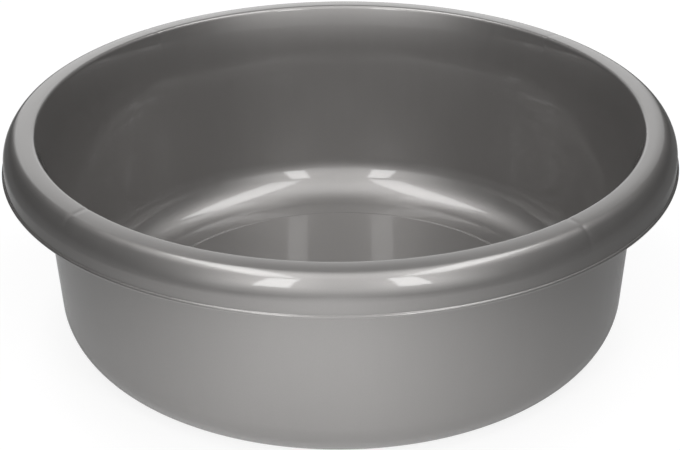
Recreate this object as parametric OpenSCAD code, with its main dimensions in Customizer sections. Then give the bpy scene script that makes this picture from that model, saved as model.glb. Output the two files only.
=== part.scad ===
// Washing up bowl: one round moulding with a wide rolled rim.
// +Z is up. The origin is the centre of the ring that the bowl stands on.
// The moulding is drawn band by band, from the floor out to the rim's bead.
// Each band is its own solid and meets the next one face to face.
// Every band is a flat outline turned about Z, drawn as [distance from Z, height].

/* [Overall] */
// Diameter across the bead at the rim's lower edge
overall_d = 380; // [340:1:420]
// Height from the standing ring to the top of the rim
overall_h = 128; // [105:1:160]
// Thickness of the plastic, the same all over
wall_t = 2; // [1.6:0.1:2.4]

/* [Base] */
// Width of the flat ring that the bowl stands on
standing_w = 12; // [6:0.5:20]
// Height of the floor's raised middle above the standing ring
floor_raise = 1.6; // [1.2:0.1:2.4]
// Radius of both bends in the step up to the raised middle, at mid thickness
step_bend_r = 4; // [3:0.5:6]
// Diameter of the gate mark under the middle of the floor
gate_d = 7; // [4:0.5:12]
// Height of the gate mark, less than the raise so that it stays off the table
gate_h = 0.9; // [0.5:0.1:1.1]
// Slope of the gate mark's side from upright, in degrees
gate_slope = 30; // [10:5:45]

/* [Side] */
// Outside radius of the curve from the base up into the side wall
heel_r = 27; // [18:1:34]
// Lean of the side wall from upright, in degrees
wall_draft = 3.7; // [2:0.1:5]
// Radius of the flare that widens the wall towards the mouth, on the wet side
flare_r = 110; // [80:1:150]

/* [Rim] */
// Width of the rim, from the mouth's edge to the outside of the bead
rim_w = 19.9; // [18:0.1:24]
// Depth of the rim, from its top to the underside of the bead
rim_h = 21.9; // [18:0.1:28]
// Radius of the lip where the wall rolls over into the rim
lip_r = 2.5; // [2.5:0.1:4]
// Angle of the lip's roll before the flare takes over, in degrees
lip_turn = 73; // [66:1:80]
// Radius of the low crown across the rim's top
crown_r = 45; // [38:1:90]
// Outside radius of the shoulder where the rim turns down
shoulder_r = 4; // [3:0.5:6]
// Outside radius of the easing that carries the shoulder on into the skirt
easing_r = 20; // [15:0.5:22]
// Angle above level at which the easing takes over from the shoulder, in degrees
easing_turn = 27; // [20:1:40]
// Lean of the skirt from upright, outwards towards its foot, in degrees
skirt_lean = 2; // [0:0.5:4]

/* [Bead] */
// Distance that the bead stands out from the skirt's foot
bead_out = 1; // [0.8:0.1:2]
// Thickness of the bead
bead_t = 2; // [1.6:0.1:2.6]

/* [Gussets] */
// Number of stiffening webs under the rim
gusset_count = 4; // [3:1:8]
// Thickness of each web
gusset_t = 1.6; // [1.2:0.1:2.2]
// Depth of each web below the rim's top
gusset_depth = 13; // [10:0.5:15]
// Turn of the first web from +X, in degrees
gusset_turn = 41.4; // [0:0.1:90]

/* [Hidden] */
$fn = 180;
// Straight steps along each bend that is drawn point by point
bend_steps = 10;

grey = [0.60, 0.59, 0.58];
dark_grey = [0.50, 0.49, 0.48];
pale_grey = [0.68, 0.67, 0.66];

// A point on the circle about c
function on_arc(c, r, angle) = c + r * [cos(angle), sin(angle)];

// Lip: its bend runs from the top of the rim, at 90 degrees, down towards the mouth
mouth_radius = overall_d / 2 - rim_w;
lip_centre = [mouth_radius + lip_r, overall_h - lip_r];
lip_end = 90 + lip_turn;
lip_foot = on_arc(lip_centre, lip_r, lip_end);

// Flare: it carries on from the lip and ends along the side wall
flare_centre = lip_foot - flare_r * [cos(lip_end), sin(lip_end)];
flare_end = 180 - wall_draft;
wall_top = on_arc(flare_centre, flare_r, flare_end);

// Heel: it touches the side wall at its upper end and the table at its lower end
wall_at_heel = wall_top[0] - (wall_top[1] - heel_r) * tan(wall_draft);
standing_radius = wall_at_heel - (heel_r - wall_t) / cos(wall_draft);
heel_centre = [standing_radius, heel_r];
wall_foot = on_arc(heel_centre, heel_r - wall_t, -wall_draft);
wall_across = wall_t * [cos(wall_draft), -sin(wall_draft)];

// Step: two bends of equal radius, one under the other's edge
step_radius = standing_radius - standing_w;
step_turn = acos(1 - floor_raise / (2 * step_bend_r));
panel_radius = step_radius - 2 * step_bend_r * sin(step_turn);
low_bend_centre = [step_radius, wall_t / 2 + step_bend_r];
high_bend_centre = [panel_radius, floor_raise + wall_t / 2 - step_bend_r];

// Rim: the crown starts at the lip, and the shoulder and its easing carry it down to
// the leaning skirt. The crown turns as far as it takes for the easing to touch the skirt
skirt_foot = [overall_d / 2 - bead_out, overall_h - rim_h + bead_t];
skirt_facing = [cos(skirt_lean), sin(skirt_lean)];
skirt_across = wall_t / cos(skirt_lean);
crown_centre = [lip_centre[0], overall_h - crown_r];
easing_shift = (shoulder_r - easing_r) * [cos(easing_turn), sin(easing_turn)];
crown_room = (skirt_foot - crown_centre - easing_shift) * skirt_facing - easing_r;
crown_turn = asin(crown_room / (crown_r - shoulder_r)) - skirt_lean;
shoulder_centre = on_arc(crown_centre, crown_r - shoulder_r, 90 - crown_turn);
easing_centre = shoulder_centre + easing_shift;
skirt_top = easing_centre + easing_r * skirt_facing;

// Gussets: they fill the hollow under the rim down to their level lower edge, and the
// hollow's outline goes a little lower
gusset_foot = overall_h - gusset_depth;
hollow_foot = min(gusset_foot, skirt_top[1]) - wall_t;
hollow_edge = skirt_foot[0] - skirt_across / 2 - (hollow_foot - skirt_foot[1]) * tan(skirt_lean);
flare_mid_r = flare_r - wall_t / 2;
gusset_flare_end = 180 - asin((gusset_foot - flare_centre[1]) / flare_mid_r);

// Points along the circle about c, from one angle to another
function arc_points(c, r, angle_a, angle_b, steps) =
    [for (i = [0 : steps]) on_arc(c, r, angle_a + i * (angle_b - angle_a) / steps)];

// A bend of the wall: the part of a ring about c between two angles
module bend(c, r_in, r_out, angle_a, angle_b) {
    reach = 1.5 * r_out;
    intersection() {
        translate(c) difference() {
            circle(r_out);
            circle(r_in);
        }
        polygon([c, on_arc(c, reach, angle_a), on_arc(c, reach, (angle_a + angle_b) / 2),
                 on_arc(c, reach, angle_b)]);
    }
}

// A flat, level ring of the outline from one radius to another
module level(r_from, r_to, z, t) {
    translate([r_from, z]) square([r_to - r_from, t]);
}

// The line of the rim from the lip's foot, over the crown and down the shoulder,
// at a depth below the rim's outer face
function rim_line(depth) = concat(
    arc_points(lip_centre, lip_r - depth, lip_end, 90, bend_steps),
    arc_points(crown_centre, crown_r - depth, 90, 90 - crown_turn, bend_steps),
    arc_points(shoulder_centre, shoulder_r - depth, 90 - crown_turn, easing_turn, bend_steps),
    arc_points(easing_centre, easing_r - depth, easing_turn, skirt_lean, bend_steps));

// The line of the step from the raised floor down to the standing ring, at a height
// above the middle of the plastic
function step_line(height) = concat(
    arc_points(high_bend_centre, step_bend_r + height, 90, 90 - step_turn, bend_steps),
    arc_points(low_bend_centre, step_bend_r - height, -90 - step_turn, -90, bend_steps));

function reversed(points) = [for (i = [len(points) - 1 : -1 : 0]) points[i]];

module flared_mouth_outline() {
    bend(flare_centre, flare_r - wall_t, flare_r, lip_end, flare_end);
}

module rolled_rim_outline() {
    polygon(concat(rim_line(0), reversed(rim_line(wall_t))));
}

module rim_skirt_outline() {
    polygon([skirt_top, skirt_foot, skirt_foot - [skirt_across, 0],
             skirt_top - wall_t * skirt_facing]);
}

// The hollow under the rim, drawn to the middle of the plastic and then cut back to it
module rim_hollow_outline() {
    flare_line = arc_points(flare_centre, flare_mid_r, gusset_flare_end, lip_end, bend_steps);
    difference() {
        polygon(concat(flare_line, rim_line(wall_t / 2), [[hollow_edge, hollow_foot]]));
        flared_mouth_outline();
        rolled_rim_outline();
        rim_skirt_outline();
    }
}

module floor_panel() {
    color(grey) translate([0, 0, floor_raise]) cylinder(h = wall_t, r = panel_radius);
}

module floor_step() {
    color(dark_grey) rotate_extrude()
        polygon(concat(step_line(wall_t / 2), reversed(step_line(-wall_t / 2))));
}

module standing_ring() {
    color(pale_grey) rotate_extrude() level(step_radius, standing_radius, 0, wall_t);
}

module heel_curve() {
    color(grey) rotate_extrude() bend(heel_centre, heel_r - wall_t, heel_r, -90, -wall_draft);
}

// A quarter turn of the side, from a plane through Z at an angle from +X
module side_quarter(start) {
    color(pale_grey) rotate(start) rotate_extrude(angle = 90)
        polygon([wall_foot, wall_foot + wall_across, wall_top + wall_across, wall_top]);
}

// The side comes in four quarters, so that each bends only a little way round the basin
module side_back_right() {
    side_quarter(0);
}

module side_back_left() {
    side_quarter(90);
}

module side_front_left() {
    side_quarter(180);
}

module side_front_right() {
    side_quarter(270);
}

module flared_mouth() {
    color(grey) rotate_extrude() flared_mouth_outline();
}

module rolled_rim() {
    color(pale_grey) rotate_extrude() rolled_rim_outline();
}

module rim_skirt() {
    color(grey) rotate_extrude() rim_skirt_outline();
}

// The bead is the skirt's foot, turned out, with a round outer edge
module rim_bead() {
    bead_edge = overall_d / 2 - bead_t / 2;
    bead_foot = skirt_foot[1] - bead_t;
    color(pale_grey) rotate_extrude() {
        level(skirt_foot[0] - skirt_across, bead_edge, bead_foot, bead_t);
        translate([bead_edge, bead_foot + bead_t / 2]) circle(bead_t / 2);
    }
}

module rim_gussets() {
    web_length = overall_d / 2 - mouth_radius;
    color(dark_grey)
        for (i = [0 : gusset_count - 1])
            intersection() {
                rotate_extrude() rim_hollow_outline();
                rotate(gusset_turn + i * 360 / gusset_count)
                    translate([wall_top[0], -gusset_t / 2, gusset_foot])
                        cube([web_length + mouth_radius - wall_top[0], gusset_t, gusset_depth]);
            }
}

// A short cone left where the plastic was fed in, on the floor's underside
module gate_mark() {
    color(dark_grey) translate([0, 0, floor_raise - gate_h])
        cylinder(h = gate_h, d1 = gate_d - 2 * gate_h * tan(gate_slope), d2 = gate_d);
}

floor_panel();
floor_step();
standing_ring();
heel_curve();
side_back_right();
side_back_left();
side_front_left();
side_front_right();
flared_mouth();
rolled_rim();
rim_skirt();
rim_bead();
rim_gussets();
gate_mark();
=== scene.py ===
from math import acos, asin, cos, degrees, pi, radians, sin, tan

import bmesh
import bpy
from mathutils import Matrix, Vector


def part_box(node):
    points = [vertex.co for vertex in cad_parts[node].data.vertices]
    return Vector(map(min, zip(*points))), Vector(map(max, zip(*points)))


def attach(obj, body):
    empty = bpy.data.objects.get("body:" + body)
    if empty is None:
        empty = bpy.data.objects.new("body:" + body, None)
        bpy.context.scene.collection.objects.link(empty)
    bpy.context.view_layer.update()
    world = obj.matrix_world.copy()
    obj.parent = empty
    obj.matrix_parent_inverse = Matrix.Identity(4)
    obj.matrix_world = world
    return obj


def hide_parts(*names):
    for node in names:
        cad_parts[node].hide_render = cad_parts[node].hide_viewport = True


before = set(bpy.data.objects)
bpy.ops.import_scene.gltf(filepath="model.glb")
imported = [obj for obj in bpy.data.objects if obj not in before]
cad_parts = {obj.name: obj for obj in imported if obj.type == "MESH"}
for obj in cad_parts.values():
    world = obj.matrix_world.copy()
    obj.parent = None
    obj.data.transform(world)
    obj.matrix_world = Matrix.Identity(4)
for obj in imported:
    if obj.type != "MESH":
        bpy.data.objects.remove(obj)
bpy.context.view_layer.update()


# ---------------------------------------------------------------- raised floor
# The flat middle of the floor, a disc of polypropylene 2 mm thick that the mould
# holds a little above the table. The whole bowl is one moulding, so every band of it is
# turned about Z from a flat outline and has the same silver-grey plastic.

class Wire:
    """One output socket of a node tree. Sums on wires add Math nodes to the tree."""

    def __init__(self, tree, socket=None):
        self.tree = tree
        self.socket = socket

    def node(self, kind, inputs=None, output=0, **settings):
        """Adds a node: its settings first, then the values or wires of its sockets."""
        node = self.tree.nodes.new(kind)
        for name, value in settings.items():
            setattr(node, name, value)
        for key, value in (inputs or {}).items():
            if isinstance(value, Wire):
                self.tree.links.new(value.socket, node.inputs[key])
            else:
                node.inputs[key].default_value = value
        return Wire(self.tree, node.outputs[output])

    def also(self, output):
        """Another output of the node that this wire comes from."""
        return Wire(self.tree, self.socket.node.outputs[output])

    def maths(self, operation, *values):
        return self.node("ShaderNodeMath", dict(enumerate(values)), operation=operation)

    def ramp(self, low, high):
        """0 below low and 1 above high, or the other way round, with an even rise."""
        return self.node("ShaderNodeMapRange", {"Value": self, "From Min": low, "From Max": high})

    def __add__(self, other):
        return self.maths("ADD", self, other)

    def __sub__(self, other):
        return self.maths("SUBTRACT", self, other)

    def __mul__(self, other):
        return self.maths("MULTIPLY", self, other)

    def __truediv__(self, other):
        return self.maths("DIVIDE", self, other)

    def __rsub__(self, other):
        return self.maths("SUBTRACT", other, self)

    __radd__ = __add__
    __rmul__ = __mul__


def silver_grey_plastic():
    """Polypropylene with a fine silver pigment under a glossy moulded skin."""
    pigment, silveriness, dullness = (0.300, 0.291, 0.285, 1.0), 0.8, 0.43
    plastic_ior, skin_dullness = 1.5, 0.05
    material = bpy.data.materials.new("silver_grey_plastic")
    material.use_nodes = True
    tree = material.node_tree
    tree.nodes.clear()
    start = Wire(tree)
    place = start.node("ShaderNodeTexCoord", output="Object")
    spot = start.node("ShaderNodeSeparateXYZ", {"Vector": place})
    height = spot.also("Z")
    reach = start.maths("SQRT", spot * spot + spot.also("Y") * spot.also("Y"))

    def noise(vector, scale, detail):
        return start.node("ShaderNodeTexNoise",
                          {"Vector": vector, "Scale": scale, "Detail": detail}) - 0.5

    # Pigment flakes of under half a millimetre, slow clouds of about 5 cm, and faint
    # streaks where the plastic flowed out from the gate, along the floor and up the side
    flakes = noise(place, scale=2400.0, detail=1.0)
    clouds = noise(place, scale=22.0, detail=2.0)
    drawn_out = (reach + height) * 0.8
    flow = start.node("ShaderNodeCombineXYZ",
                      {0: spot / reach, 1: spot.also("Y") / reach, 2: drawn_out})
    streaks = noise(flow, scale=26.0, detail=2.0) * reach.ramp(0.006, 0.05)
    tone = 1.0 + flakes * 0.10 + clouds * 0.05 + streaks * 0.05

    # Underneath, the cutter's fine rings, and scuffs on the ring that stands on the table.
    # Both are found by height: the inside of the floor lies above 1.9 mm everywhere
    under = height.ramp(0.0019, 0.0017)
    in_rings = start.node("ShaderNodeCombineXYZ", {0: reach})
    rings = noise(in_rings, scale=1600.0, detail=0.0) * under
    on_table = height.ramp(0.0005, 0.0001)
    patches = noise(place, scale=310.0, detail=4.0) * 4.0 + 0.5
    scuffs = patches.ramp(0.2, 0.8) * on_table
    worn = start.maths("MAXIMUM", under * 0.35, scuffs)
    tone = tone + scuffs * 0.12

    tint = start.node("ShaderNodeCombineColor", {0: tone, 1: tone, 2: tone})
    colour = start.node("ShaderNodeMix", {"Factor": 1.0, 6: pigment, 7: tint}, output=2,
                        data_type="RGBA", blend_type="MULTIPLY")
    ripple = start.node("ShaderNodeBump", {"Height": clouds + rings * 0.12, "Strength": 0.15,
                                           "Distance": 0.0003}, output="Normal")
    spread = dullness + clouds * 0.06 + streaks * 0.05 + worn * 0.12
    shader = start.node("ShaderNodeBsdfPrincipled",
                        {"Base Color": colour, "Metallic": silveriness, "Roughness": spread,
                         "IOR": plastic_ior, "Normal": ripple, "Coat Weight": 1.0 - worn,
                         "Coat Roughness": skin_dullness, "Coat IOR": plastic_ior},
                        output="BSDF")
    out = tree.nodes.new("ShaderNodeOutputMaterial")
    tree.links.new(shader.socket, out.inputs["Surface"])
    return material


plastic = silver_grey_plastic()

# The webs under the rim: every band is turned in steps that crowd towards them, and
# the plastic is drawn in a little over each, where the thicker spot cooled last
WEBS = 4
FIRST_WEB = radians(41.4)
TURNED_STEPS = 480
CROWDING = 0.85
SINK_DEPTH, SINK_WIDTH, SINK_FADE = 0.00012, 0.0016, 0.004
web_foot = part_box("rim_gussets")[0].z


def straight(start, end, steps=1):
    """A straight run of an outline: (point, way it faces), to the right of travel."""
    start, end = Vector(start), Vector(end)
    along = (end - start).normalized()
    return [(start.lerp(end, i / steps), Vector((along.y, -along.x)))
            for i in range(steps + 1)]


def bend(centre, radius, start, end, steps=12):
    """A bend between two angles in degrees. Anticlockwise it faces away from its
    centre, clockwise towards it: to the right of travel, like a straight run."""
    side = 1 if end > start else -1
    angles = [radians(start + (end - start) * i / steps) for i in range(steps + 1)]
    spokes = [Vector((cos(a), sin(a))) for a in angles]
    return [(Vector(centre) + radius * spoke, side * spoke) for spoke in spokes]


def on_arc(centre, radius, angle):
    return Vector(centre) + radius * Vector((cos(radians(angle)), sin(radians(angle))))


def turning_tree():
    """Geometry nodes that turn an outline about Z into a closed band."""
    tree = bpy.data.node_groups.new("turned_band", "GeometryNodeTree")
    sockets = tree.interface
    for name, kind in (("Outline", "Geometry"), ("Steps round", "Int"), ("Webs", "Int"),
                       ("First web", "Float"), ("Crowding", "Float"),
                       ("Sink depth", "Float"), ("Sink width", "Float"),
                       ("Plastic", "Material")):
        sockets.new_socket(name, in_out="INPUT", socket_type="NodeSocket" + kind)
    sockets.new_socket("Band", in_out="OUTPUT", socket_type="NodeSocketGeometry")
    group = Wire(tree).node("NodeGroupInput", output="Outline")
    webs, first = group.also("Webs"), group.also("First web")

    def named(name, kind):
        return group.node("GeometryNodeInputNamedAttribute", {"Name": name},
                          data_type=kind)

    def stored(shape, name, kind, value, domain="POINT"):
        return group.node("GeometryNodeStoreNamedAttribute",
                          {"Geometry": shape, "Name": name, "Value": value},
                          data_type=kind, domain=domain)

    # The path: one point for each step round, with its angle
    index = group.node("GeometryNodeInputIndex")
    even = index * (2 * pi) / group.also("Steps round")
    crowded = even - group.maths("SINE", (even - first) * webs) * group.also("Crowding") / webs
    circle = group.node("GeometryNodeCurvePrimitiveCircle",
                        {"Resolution": group.also("Steps round"), "Radius": 1.0})
    path = stored(circle, "angle", "FLOAT", crowded)

    # The outline, which remembers where it was drawn
    drawn = group.node("GeometryNodeInputPosition")
    profile = stored(group, "section", "FLOAT_VECTOR", drawn)
    profile = group.node("GeometryNodeMeshToCurve", {"Mesh": profile})
    swept = group.node("GeometryNodeCurveToMesh", {"Curve": path, "Profile Curve": profile})

    # Each point goes where its section and angle say, drawn in over the webs
    angle = named("angle", "FLOAT")
    section = group.node("ShaderNodeSeparateXYZ", {"Vector": named("section", "FLOAT_VECTOR")})
    facing = group.node("ShaderNodeSeparateXYZ", {"Vector": named("facing", "FLOAT_VECTOR")})
    push = group.node("ShaderNodeSeparateXYZ", {"Vector": named("push", "FLOAT_VECTOR")})
    radius, height = section, section.also("Z")
    off_web = group.maths("WRAP", angle - first, pi / WEBS, -pi / WEBS)
    reach = radius * off_web / group.also("Sink width")
    hollow = group.maths("EXPONENT", reach * reach * -1.0)
    sink = group.also("Sink depth") * hollow
    fade = push * facing + push.also("Z") * facing.also("Z")
    slope = 2.0 * reach * sink * fade / group.also("Sink width")
    out_r = radius - sink * push
    out_z = height - sink * push.also("Z")
    cosine, sine = group.maths("COSINE", angle), group.maths("SINE", angle)
    place = group.node("ShaderNodeCombineXYZ", {0: out_r * cosine, 1: out_r * sine, 2: out_z})
    turned = group.node("GeometryNodeSetPosition", {"Geometry": swept, "Position": place})
    turned = group.node("GeometryNodeFlipFaces", {"Mesh": turned})
    normal = group.node("ShaderNodeCombineXYZ", {0: facing * cosine + slope * sine,
                                                 1: facing * sine - slope * cosine,
                                                 2: facing.also("Z")})
    turned = stored(turned, "turned_normal", "FLOAT_VECTOR", normal, domain="CORNER")
    whole = group.node("GeometryNodeMergeByDistance", {"Geometry": turned, "Distance": 1e-6})
    whole = group.node("GeometryNodeSetMaterial",
                       {"Geometry": whole, "Material": group.also("Plastic")})
    whole = group.node("GeometryNodeRealizeInstances", {"Geometry": whole})
    out = tree.nodes.new("NodeGroupOutput")
    tree.links.new(whole.socket, out.inputs["Band"])
    return tree


turned_band = turning_tree()


def set_inputs(modifier, **values):
    """Sets a geometry nodes modifier's named inputs by their sockets' identifiers."""
    named = {item.name: item.identifier for item in modifier.node_group.interface.items_tree
             if item.in_out == "INPUT"}
    for name, value in values.items():
        modifier[named[name.replace("_", " ")]] = value


def baked(thing, name):
    """The evaluated object's mesh as a plain object of its own."""
    depsgraph = bpy.context.evaluated_depsgraph_get()
    mesh = bpy.data.meshes.new_from_object(thing.evaluated_get(depsgraph))
    bpy.data.objects.remove(thing)
    mesh.name = name
    piece = bpy.data.objects.new(name, mesh)
    bpy.context.scene.collection.objects.link(piece)
    return piece


def turned(name, runs, *nodes, sinking=()):
    """Turns an outline's runs into a band that stands for its CAD nodes. The sinking
    runs are drawn in over the webs, above the webs' feet, and take their ends along."""
    pushes = {}
    for point, way in (step for run in sinking for step in run):
        up = min(max((point.y - web_foot) / SINK_FADE, 0), 1)
        pushes[point.to_tuple(7)] = up * up * (3 - 2 * up) * way
    points, edges, facing, push = [], [], [], []
    for run in list(runs) + list(sinking):
        first = len(points)
        for point, way in run:
            drawn_in = pushes.get(point.to_tuple(7), Vector((0, 0)))
            points.append((point.x, 0, point.y))
            facing += [way.x, 0, way.y]
            push += [drawn_in.x, 0, drawn_in.y]
        edges += [(first + i, first + i + 1) for i in range(len(run) - 1)]
    mesh = bpy.data.meshes.new(name + "_outline")
    mesh.from_pydata(points, edges, [])
    for kept, values in (("facing", facing), ("push", push)):
        mesh.attributes.new(kept, "FLOAT_VECTOR", "POINT").data.foreach_set("vector", values)
    outline = bpy.data.objects.new(name + "_outline", mesh)
    bpy.context.scene.collection.objects.link(outline)
    lathe = outline.modifiers.new("turning", "NODES")
    lathe.node_group = turned_band
    set_inputs(lathe, Steps_round=TURNED_STEPS, Webs=WEBS, First_web=FIRST_WEB,
               Crowding=CROWDING, Sink_depth=SINK_DEPTH, Sink_width=SINK_WIDTH,
               Plastic=plastic)
    piece = baked(outline, name)
    mesh = piece.data
    mesh.shade_smooth()
    kept = mesh.attributes["turned_normal"]
    normals = [Vector(kept.data[i].vector).normalized() for i in range(len(mesh.loops))]
    for extra in ("turned_normal", "facing", "push", "section", "angle"):
        if extra in mesh.attributes:
            mesh.attributes.remove(mesh.attributes[extra])
    mesh.normals_split_custom_set(normals)
    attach(piece, "root")
    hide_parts(*nodes)
    return piece


panel_low, panel_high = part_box("floor_panel")
panel_radius = panel_high.x
wall_t = panel_high.z - panel_low.z
turned("raised_floor", [
    straight((0, panel_low.z), (panel_radius, panel_low.z), steps=6),
    straight((panel_radius, panel_low.z), (panel_radius, panel_high.z)),
    straight((panel_radius, panel_high.z), (0, panel_high.z), steps=6)], "floor_panel")


# ------------------------------------------------------------------ floor step
# The soft step that lifts the middle of the floor off the table: two equal bends of
# the same plastic, one up and one down. It stiffens the floor against sagging.

step_bend = 0.004
bend_turn = degrees(acos(1 - panel_low.z / (2 * step_bend)))
step_radius = panel_radius + 2 * step_bend * sin(radians(bend_turn))
high_bend = (panel_radius, panel_high.z - wall_t / 2 - step_bend)
low_bend = (step_radius, wall_t / 2 + step_bend)
turned("step_in_floor", [
    bend(high_bend, step_bend - wall_t / 2, 90, 90 - bend_turn),
    bend(low_bend, step_bend + wall_t / 2, -90 - bend_turn, -90),
    straight((step_radius, 0), (step_radius, wall_t)),
    bend(low_bend, step_bend - wall_t / 2, -90, -90 - bend_turn),
    bend(high_bend, step_bend + wall_t / 2, 90 - bend_turn, 90),
    straight((panel_radius, panel_high.z), (panel_radius, panel_low.z))], "floor_step")


# --------------------------------------------------------------- standing ring
# The flat ring outside the step, 12 mm wide, of the same polypropylene moulding. It is
# the only part of the bowl that meets the table, so it is the part that scuffs.

standing_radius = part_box("standing_ring")[1].x
turned("ring_on_table", [
    straight((step_radius, 0), (standing_radius, 0), steps=3),
    straight((standing_radius, 0), (standing_radius, wall_t)),
    straight((standing_radius, wall_t), (step_radius, wall_t), steps=3),
    straight((step_radius, wall_t), (step_radius, 0))], "standing_ring")


# ------------------------------------------------------------------------ heel
# The deep round bend of the moulding from the base up into the side, 27 mm in radius
# outside and 2 mm less inside, so that the wall keeps one thickness.

heel_radius = 0.027
wall_draft = 3.7
heel_centre = (standing_radius, heel_radius)
heel_out = on_arc(heel_centre, heel_radius, -wall_draft)
heel_in = on_arc(heel_centre, heel_radius - wall_t, -wall_draft)
turned("heel_bend", [
    bend(heel_centre, heel_radius, -90, -wall_draft, steps=40),
    straight(heel_out, heel_in),
    bend(heel_centre, heel_radius - wall_t, -wall_draft, -90, steps=40),
    straight((standing_radius, wall_t), (standing_radius, 0))], "heel_curve")


# ------------------------------------------------------------------- side wall
# The straight part of the moulded wall. It leans out 3.7 degrees so that the bowl
# slides off its mould, and stands here for all four quarters of the side.

wall_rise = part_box("side_back_right")[1].z - heel_in.y
wall_step = Vector((tan(radians(wall_draft)), 1)) * wall_rise
wall_top_in = heel_in + wall_step
wall_top_out = heel_out + wall_step
turned("sloping_side", [
    straight(heel_out, wall_top_out, steps=10),
    straight(wall_top_out, wall_top_in),
    straight(wall_top_in, heel_in, steps=10),
    straight(heel_in, heel_out)],
    "side_back_right", "side_back_left", "side_front_left", "side_front_right")


# ---------------------------------------------------------------- flared mouth
# The top of the moulded wall, where it widens towards the mouth in a long easy curve.
# The webs' sink marks start on its inner face and run on over the rim.

flare_radius = 0.110
lip_end = 163
flare_start = 180 - wall_draft
flare_centre = wall_top_in - on_arc((0, 0), flare_radius, flare_start)
flare_in = on_arc(flare_centre, flare_radius, lip_end)
flare_out = on_arc(flare_centre, flare_radius - wall_t, lip_end)
turned("mouth_flare", [
    bend(flare_centre, flare_radius - wall_t, flare_start, lip_end, steps=24),
    straight(flare_out, flare_in),
    straight(wall_top_in, wall_top_out)], "flared_mouth",
    sinking=[bend(flare_centre, flare_radius, lip_end, flare_start, steps=24)])


# ------------------------------------------------------------------ rolled rim
# Lip, low crown, rounded shoulder and the long easing below it in one: the wall rolls
# over outwards and turns down, which makes a stiff edge that is kind to wet hands.

lip_radius = 0.0025
crown_radius = 0.045
shoulder_bend = 0.0075
easing_bend = 0.017
easing_turn = 42
skirt_lean = 2
bead_low, bead_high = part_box("rim_bead")
skirt_foot = Vector((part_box("rim_skirt")[1].x, bead_high.z))
skirt_facing = on_arc((0, 0), 1, skirt_lean)
lip_across = (flare_in - on_arc((0, 0), lip_radius, lip_end)).x
lip_centre = Vector((lip_across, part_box("rolled_rim")[1].z - lip_radius))
crown_centre = lip_centre + Vector((0, lip_radius - crown_radius))
easing_shift = on_arc((0, 0), shoulder_bend - easing_bend, easing_turn)
crown_room = (skirt_foot - crown_centre - easing_shift).dot(skirt_facing) - easing_bend
crown_turn = degrees(asin(crown_room / (crown_radius - shoulder_bend))) - skirt_lean
shoulder_centre = on_arc(crown_centre, crown_radius - shoulder_bend, 90 - crown_turn)
easing_centre = shoulder_centre + easing_shift


def rim_run(depth, inwards):
    """The rim's line at a depth below its outer face, as one run from lip to skirt
    or, outwards facing, from skirt to lip."""
    run = (bend(lip_centre, lip_radius - depth, lip_end, 90, steps=14)
           + bend(crown_centre, crown_radius - depth, 90, 90 - crown_turn, steps=8)[1:]
           + bend(shoulder_centre, shoulder_bend - depth, 90 - crown_turn, easing_turn,
                  steps=14)[1:]
           + bend(easing_centre, easing_bend - depth, easing_turn, skirt_lean, steps=10)[1:])
    return run if inwards else [(point, -way) for point, way in reversed(run)]


skirt_top = easing_centre + easing_bend * skirt_facing
skirt_top_in = skirt_top - wall_t * skirt_facing
turned("rim_roll", [
    rim_run(wall_t, True),
    straight(skirt_top_in, skirt_top),
    straight(on_arc(lip_centre, lip_radius, lip_end),
             on_arc(lip_centre, lip_radius - wall_t, lip_end))], "rolled_rim",
    sinking=[rim_run(0, False)])


# ------------------------------------------------------------------- rim skirt
# The skirt that the rim turns down into, in the same 2 mm plastic. It leans out
# 2 degrees so that the mould draws, and ends at the crease above the bead.

crease_round = 0.0004
bead_round = (bead_high.z - bead_low.z) / 2
bead_centre = Vector((bead_high.x - bead_round, bead_low.z + bead_round))
# The crease is a hollow bend that touches both the skirt and the bead's round edge
crease_x = skirt_foot.x + crease_round / cos(radians(skirt_lean)) - bead_centre.x
crease_rise = ((bead_round + crease_round) ** 2 - crease_x ** 2) ** 0.5
crease_centre = bead_centre + Vector((crease_x, crease_rise))
crease_top = crease_centre - crease_round * skirt_facing
crease_top_in = crease_top - Vector((wall_t / cos(radians(skirt_lean)), 0))
turned("rim_apron", [
    straight(skirt_top_in, crease_top_in, steps=3),
    straight(crease_top_in, crease_top),
    straight(skirt_top, skirt_top_in)], "rim_skirt",
    sinking=[straight(crease_top, skirt_top, steps=8)])


# -------------------------------------------------------------------- rim bead
# The skirt's foot, turned out 1 mm into a thin round edge where the two halves of the
# mould part. A fine hollow crease sets it off from the skirt.

edge_round = 0.0003
bead_top_turn = degrees(acos(crease_x / (bead_round + crease_round)))
bead_foot_in = Vector((crease_top_in.x, bead_low.z))
turned("bead_edge", [
    straight(bead_foot_in + Vector((edge_round, 0)), (bead_centre.x, bead_low.z), steps=2),
    bend(bead_centre, bead_round, -90, bead_top_turn, steps=14),
    bend(crease_centre, crease_round, 180 + bead_top_turn, 180 + skirt_lean, steps=6),
    straight(crease_top, crease_top_in, steps=2),
    straight(crease_top_in, bead_foot_in + Vector((0, edge_round))),
    bend(bead_foot_in + Vector((edge_round, edge_round)), edge_round, 180, 270, steps=4)],
    "rim_bead")


# -------------------------------------------------------------- webs under the rim
# Four thin webs of the same plastic, moulded across the hollow of the rim from the
# flare to the skirt. They taper a little downwards, and their lower edge is rounded.

web_half, web_foot_half = 0.0008, 0.00068
web_round = 0.0004
web_sink = 0.0003
web_stations, web_lower_steps = 6, 6


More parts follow.
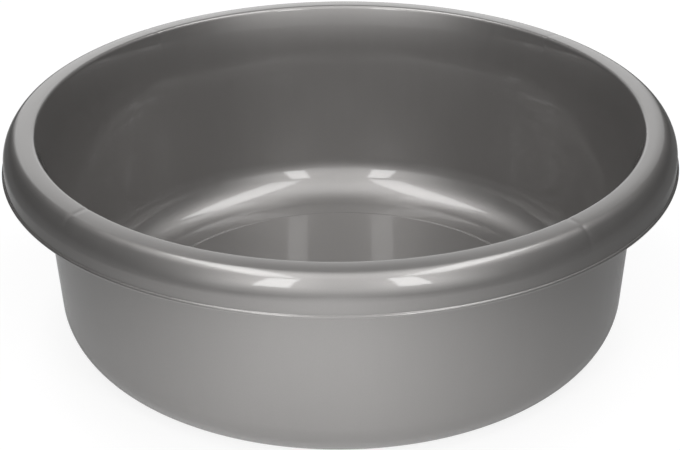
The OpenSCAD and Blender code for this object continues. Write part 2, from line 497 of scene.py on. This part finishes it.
def web_mesh():
    """One web, drawn along +X, with its edges sunk a little into the plastic."""
    flare_mid = flare_radius - wall_t + web_sink
    low_turn = 180 - degrees(asin((web_foot - flare_centre.y) / flare_mid))
    rim = rim_run(wall_t - web_sink, True)
    top = [point for point, _ in bend(flare_centre, flare_mid, low_turn, lip_end, steps=8)]
    top += [point for point, _ in rim[1:]]
    drop = (rim[-1][0].y - web_foot) * tan(radians(skirt_lean))
    top.append(Vector((rim[-1][0].x + drop, web_foot)))
    spots, faces = [], []
    for station in range(web_stations + 1):
        across = radians(180 * station / web_stations - 90)
        raised = web_foot + web_round * (1 - cos(across))
        ring = [Vector((point.x, max(point.y, raised))) for point in top]
        ring += [ring[-1].lerp(ring[0], i / web_lower_steps)
                 for i in range(1, web_lower_steps)]
        for point in ring:
            up = (point.y - web_foot) / (lip_centre.y - web_foot)
            half = web_foot_half + (web_half - web_foot_half) * up
            spots.append((point.x, half * sin(across), point.y))
    count = len(spots) // (web_stations + 1)
    for station in range(web_stations):
        for i in range(count):
            a, b = station * count + i, station * count + (i + 1) % count
            faces.append((a, b, b + count, a + count))
    faces.append(tuple(reversed(range(count))))
    faces.append(tuple(range(web_stations * count, (web_stations + 1) * count)))
    mesh = bpy.data.meshes.new("one_web")
    mesh.from_pydata(spots, [], faces)
    shape = bmesh.new()
    shape.from_mesh(mesh)
    bmesh.ops.recalc_face_normals(shape, faces=shape.faces)
    bmesh.ops.triangulate(shape, faces=[face for face in shape.faces if len(face.verts) > 4])
    shape.to_mesh(mesh)
    shape.free()
    mostly_sideways = 0.97
    for face in mesh.polygons:
        face.use_smooth = abs(face.normal.y) < mostly_sideways
    return mesh


def ring_of_copies_tree():
    """Geometry nodes that set copies of a shape at even turns about Z."""
    tree = bpy.data.node_groups.new("ring_of_webs", "GeometryNodeTree")
    for name, kind in (("Web", "Geometry"), ("Count", "Int"), ("First turn", "Float"),
                       ("Plastic", "Material")):
        tree.interface.new_socket(name, in_out="INPUT", socket_type="NodeSocket" + kind)
    tree.interface.new_socket("Ring", in_out="OUTPUT", socket_type="NodeSocketGeometry")
    group = Wire(tree).node("NodeGroupInput", output="Web")
    spots = group.node("GeometryNodeMeshLine", {"Count": group.also("Count"),
                                                "Offset": (0, 0, 0)})
    index = group.node("GeometryNodeInputIndex")
    turn = group.also("First turn") + index * (2 * pi) / group.also("Count")
    placed = group.node("GeometryNodeInstanceOnPoints",
                        {"Points": spots, "Instance": group,
                         "Rotation": group.node("ShaderNodeCombineXYZ", {2: turn})})
    ring = group.node("GeometryNodeRealizeInstances", {"Geometry": placed})
    ring = group.node("GeometryNodeSetMaterial", {"Geometry": ring,
                                                  "Material": group.also("Plastic")})
    out = tree.nodes.new("NodeGroupOutput")
    tree.links.new(ring.socket, out.inputs["Ring"])
    return tree


web = bpy.data.objects.new("web_pattern", web_mesh())
bpy.context.scene.collection.objects.link(web)
spread = web.modifiers.new("ring", "NODES")
spread.node_group = ring_of_copies_tree()
set_inputs(spread, Count=WEBS, First_turn=FIRST_WEB, Plastic=plastic)
webs = baked(web, "under_rim_webs")
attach(webs, "root")
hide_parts("rim_gussets")


# ------------------------------------------------------------------- gate nub
# The short cone under the middle of the floor where the plastic was fed in, with the
# little stub that is left where the runner was snapped off.

gate_low, gate_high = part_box("gate_mark")
gate_radius = gate_high.x
gate_slope = 30
gate_face = gate_radius - (gate_high.z - gate_low.z) * tan(radians(gate_slope))
stub_top, stub_radius, stub_rise = 0.00095, 0.0011, 0.0003
face_z = gate_low.z + stub_rise
turned("gate_nub", [
    straight((0, gate_low.z), (stub_top, gate_low.z), steps=2),
    straight((stub_top, gate_low.z), (stub_radius, face_z)),
    straight((stub_radius, face_z), (gate_face, face_z), steps=2),
    straight((gate_face, face_z), (gate_radius, gate_high.z), steps=2),
    straight((gate_radius, gate_high.z), (0, gate_high.z), steps=2)], "gate_mark")


# ---------------------------------------------------------------------- studio
# A pale table before a white room, with two tall soft panels beside the camera and two
# long ones overhead. All of it stands still and none of it belongs to the bowl.

def flat_panel(name, centre, towards, width, height, glow):
    """A soft light, as bright as a white surface times its glow."""
    light = bpy.data.lights.new(name, "AREA")
    light.shape = "RECTANGLE"
    light.size = width
    light.size_y = height
    light.energy = glow * pi * width * height
    lamp = bpy.data.objects.new(name, light)
    bpy.context.scene.collection.objects.link(lamp)
    look = Vector(towards) - Vector(centre)
    lamp.matrix_world = (Matrix.Translation(centre)
                         @ look.to_track_quat("-Z", "Y").to_matrix().to_4x4())
    lamp.visible_camera = False
    return lamp


# Each panel is given by how far sideways and how far up or along it reaches, per metre
# of distance. In the photograph's highlights the right pair stands a little wider
FRONT_AWAY, FRONT_LOW, FRONT_HIGH, FRONT_GLOW = 1.0, 0.51, 1.31, 6.5
OVER_UP, OVER_NEAR, OVER_FAR, OVER_GLOW = 1.6, -0.62, 0.42, 4.4
LEFT, RIGHT = -1, 1
for side, (front_in, front_out), (over_in, over_out) in (
        (LEFT, (0.27, 0.49), (0.19, 0.43)), (RIGHT, (0.30, 0.50), (0.27, 0.52))):
    panel_x = side * FRONT_AWAY * (front_in + front_out) / 2
    panel_z = FRONT_AWAY * (FRONT_LOW + FRONT_HIGH) / 2
    flat_panel("front_panel", (panel_x, -FRONT_AWAY, panel_z), (panel_x, 0, panel_z),
               FRONT_AWAY * (front_out - front_in), FRONT_AWAY * (FRONT_HIGH - FRONT_LOW),
               FRONT_GLOW)
    panel_x = side * OVER_UP * (over_in + over_out) / 2
    panel_y = OVER_UP * (OVER_NEAR + OVER_FAR) / 2
    flat_panel("overhead_panel", (panel_x, panel_y, OVER_UP), (panel_x, panel_y, 0),
               OVER_UP * (over_out - over_in), OVER_UP * (OVER_FAR - OVER_NEAR), OVER_GLOW)


def pale_paper():
    """White paper as the camera sees it. What it sends to the bowl comes mostly from a strip
    in front that glows as a painted pool of light; towards its sides it is painted grey as shade."""
    seen_glow, seen_grey = 0.85, 0.2
    painted_shade_grey, middle_grey, strip_glow = 0.15, 0.65, 0.45
    material = bpy.data.materials.new("pale_table")
    material.use_nodes = True
    tree = material.node_tree
    tree.nodes.clear()
    start = Wire(tree)
    white = (1, 1, 1, 1)
    seen = start.node("ShaderNodeLightPath", output="Is Camera Ray")
    # The paper's middle and its glowing strip of painted light, by metres across and along from
    # the bowl
    spot = start.node("ShaderNodeSeparateXYZ",
                      {"Vector": start.node("ShaderNodeTexCoord", output="Object")})
    middle = start.maths("ABSOLUTE", spot + 0.03).ramp(0.37, 0.05)
    strip = middle * spot.also("Y").ramp(-0.05, -0.25) * spot.also("Y").ramp(-3.5, -2.5)
    # Painted shade: towards the sides the paper is painted a darker grey, where little light
    # falls
    grey = painted_shade_grey + middle * middle_grey
    even = start.node("ShaderNodeEmission", {"Color": white, "Strength": seen_glow})
    shaded = start.node("ShaderNodeBsdfDiffuse",
                        {"Color": (seen_grey, seen_grey, seen_grey, 1)})
    # Painted pool of light: the strip in front glows, though it is no lamp
    lit = start.node("ShaderNodeEmission", {"Color": white, "Strength": strip * strip_glow})
    dull = start.node("ShaderNodeBsdfDiffuse",
                      {"Color": start.node("ShaderNodeCombineColor",
                                           {0: grey, 1: grey, 2: grey})})
    to_bowl = start.node("ShaderNodeAddShader", {0: lit, 1: dull})
    to_camera = start.node("ShaderNodeAddShader", {0: even, 1: shaded})
    chosen = start.node("ShaderNodeMixShader", {0: seen, 1: to_bowl, 2: to_camera})
    out = tree.nodes.new("ShaderNodeOutputMaterial")
    tree.links.new(chosen.socket, out.inputs["Surface"])
    return material


TABLE_HALF = 6
table = bpy.data.meshes.new("table")
table.from_pydata([(-TABLE_HALF, -TABLE_HALF, 0), (TABLE_HALF, -TABLE_HALF, 0),
                   (TABLE_HALF, TABLE_HALF, 0), (-TABLE_HALF, TABLE_HALF, 0)],
                  [], [(0, 1, 2, 3)])
table_top = bpy.data.objects.new("table", table)
bpy.context.scene.collection.objects.link(table_top)
table.materials.append(pale_paper())


def white_room():
    """White to the camera. To the bowl it is dim, apart from a screen behind, a broad
    glow in front that is stronger between the panels' feet and heads, and the ceiling."""
    fill, screen_glow, front_glow, ceiling_glow = 0.03, 1.1, 0.50, 0.9
    world = bpy.data.worlds.new("white_room")
    world.use_nodes = True
    tree = world.node_tree
    tree.nodes.clear()
    start = Wire(tree)
    seen = start.node("ShaderNodeLightPath", output="Is Camera Ray")
    way = start.node("ShaderNodeSeparateXYZ",
                     {"Vector": start.node("ShaderNodeTexCoord", output="Generated")})
    sideways, along, up = start.maths("ABSOLUTE", way), way.also("Y"), way.also("Z")
    # The ramps run along a direction of length 1: up 0 is the horizon and up 1 overhead
    off_screen = start.maths("ABSOLUTE", way + 0.06)
    screen = (along * 0.45 - off_screen).ramp(-0.05, 0.10)
    screen = screen * up.ramp(-0.02, 0.06) * up.ramp(0.70, 0.45)
    front = (along * -1.2 - sideways).ramp(-0.10, 0.30) * up.ramp(0.90, 0.80)
    front = front * (1.0 + up.ramp(0.13, 0.22) * up.ramp(0.62, 0.42))
    ceiling = up.ramp(0.78, 0.95) * along.ramp(0.45, 0.10)
    room = screen * screen_glow + front * front_glow + ceiling * ceiling_glow + fill
    back = start.node("ShaderNodeBackground",
                      {"Color": (1, 1, 1, 1), "Strength": room + seen * (1.0 - room)})
    out = tree.nodes.new("ShaderNodeOutputWorld")
    tree.links.new(back.socket, out.inputs["Surface"])
    return world


bpy.context.scene.world = white_room()

# The camera, a long lens a little above the rim, tilted down to the middle of the bowl
CAMERA_PLACE = (-0.00050, -0.92637, 0.54459)
CAMERA_TILT = radians(27.736)
CAMERA_ROLL = radians(-0.505)
camera_data = bpy.data.cameras.new("camera")
camera = bpy.data.objects.new("camera", camera_data)
bpy.context.scene.collection.objects.link(camera)
camera_data.sensor_width = 36
camera_data.lens = 95.294
camera.matrix_world = (Matrix.Translation(CAMERA_PLACE)
                       @ Matrix.Rotation(pi / 2 - CAMERA_TILT, 4, "X")
                       @ Matrix.Rotation(CAMERA_ROLL, 4, "Z"))
bpy.context.scene.camera = camera
bpy.context.scene.view_settings.view_transform = "Standard"
